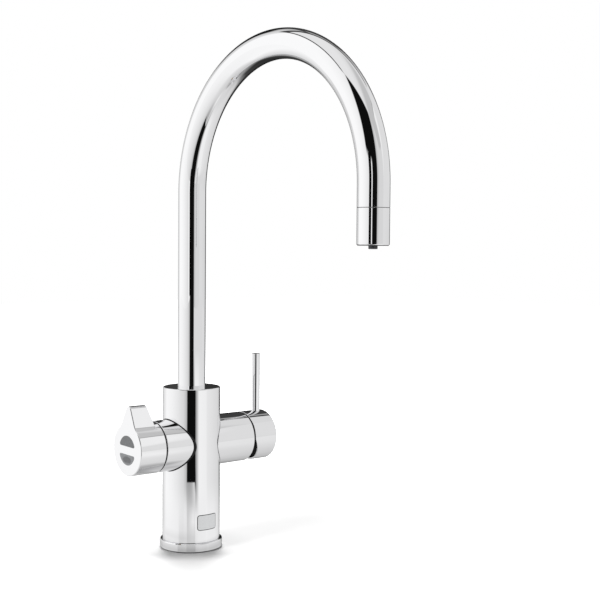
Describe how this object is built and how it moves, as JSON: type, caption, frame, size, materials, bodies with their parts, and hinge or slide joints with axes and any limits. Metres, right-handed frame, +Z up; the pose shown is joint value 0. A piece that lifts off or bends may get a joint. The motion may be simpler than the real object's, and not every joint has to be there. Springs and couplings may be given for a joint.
{
  "type": "filtered water mixer tap",
  "caption": "Deck-mounted kitchen tap: upright round column, tall swivel arch spout, a filtered-water knob with a thumb wing on one side and a tilting pin-lever mixer on the other.",
  "frame": {"origin": "where the column's axis meets the deck, on the underside of the gasket; the stud hole is on this axis", "axes": "+Z up along the column; -Y towards the user, the way the spout points; -X to the filtered-water knob, +X to the mixer"},
  "size_m": [0.1504, 0.2768, 0.4523],
  "materials": {
    "polished_chrome": "polished chrome plate",
    "badge_chrome": "polished chrome plate, bare",
    "brass": "turned",
    "steel": "turned stainless",
    "rubber": "moulded",
    "black_plastic": "moulded",
    "bush_plastic": "moulded",
    "outlet_plastic": "moulded",
    "ceramic": "lapped",
    "window": "moulded, clear-coated"
  },
  "bodies": {
    "tap_body": {"deck_gasket": "rubber", "base_flange": "polished_chrome", "column": "polished_chrome", "waterway_core": "brass", "badge_plate": "badge_chrome", "filter_collar": "polished_chrome", "knob_wear_ring": "black_plastic", "selector_housing": "black_plastic", "selector_fixed_disc": "ceramic", "selector_gland_nut": "brass", "selector_port_seals": "rubber", "mixer_barrel": "polished_chrome", "cartridge_housing": "black_plastic", "cartridge_base": "black_plastic", "mixer_fixed_disc": "ceramic", "cartridge_clamp_nut": "brass", "mixer_port_seals": "rubber", "swivel_bush_upper": "bush_plastic", "swivel_bush_lower": "bush_plastic", "swivel_stop_screw": "steel", "filtered_tube_seal": "rubber"},
    "spout": {"spout_tube": "polished_chrome", "swivel_tail": "brass", "swivel_seals": "rubber", "filtered_inner_tube": "bush_plastic", "outlet_collar": "polished_chrome", "outlet_seal": "rubber", "aerator_insert": "outlet_plastic", "filtered_nozzle": "outlet_plastic"},
    "filter_knob_turning": {"filter_knob": "polished_chrome", "upper_window": "window", "lower_window": "window", "selector_spindle": "brass", "spindle_seal": "rubber", "selector_moving_disc": "ceramic", "knob_set_screw": "steel"},
    "mixer_turret": {"lever_guide": "black_plastic", "lever_pivot_pin": "steel"},
    "mixer_lever": {"mixer_handle": "polished_chrome", "pin_lever": "polished_chrome", "mixer_stem": "steel", "handle_set_screw": "steel"},
    "mixer_disc": {"disc_carrier": "black_plastic", "mixer_moving_disc": "ceramic"}
  },
  "joints": [
    {"name": "spout_swivel", "type": "hinge", "parent": "tap_body", "child": "spout", "pos_m": [0, 0, 0.1286], "axis": [0, 0, 1], "range_deg": [-75, 75]},
    {"name": "filter_turn", "type": "hinge", "parent": "tap_body", "child": "filter_knob_turning", "pos_m": [-0.05, 0, 0.0954], "axis": [1, 0, 0], "range_deg": [-45, 45]},
    {"name": "mixer_temperature", "type": "hinge", "parent": "tap_body", "child": "mixer_turret", "pos_m": [0.05, 0, 0.0954], "axis": [1, 0, 0], "range_deg": [-45, 45]},
    {"name": "mixer_flow", "type": "hinge", "parent": "mixer_turret", "child": "mixer_lever", "pos_m": [0.052, 0, 0.0954], "axis": [0, 1, 0], "range_deg": [0, 20]},
    {"name": "disc_slide", "type": "slide", "parent": "mixer_turret", "child": "mixer_disc", "axis": [0, 0, 1], "range_m": [0, 0.0042]}
  ],
  "couplings": [
    {"joint": "disc_slide", "follows": "mixer_flow", "m_per_rad": 0.012}
  ]
}
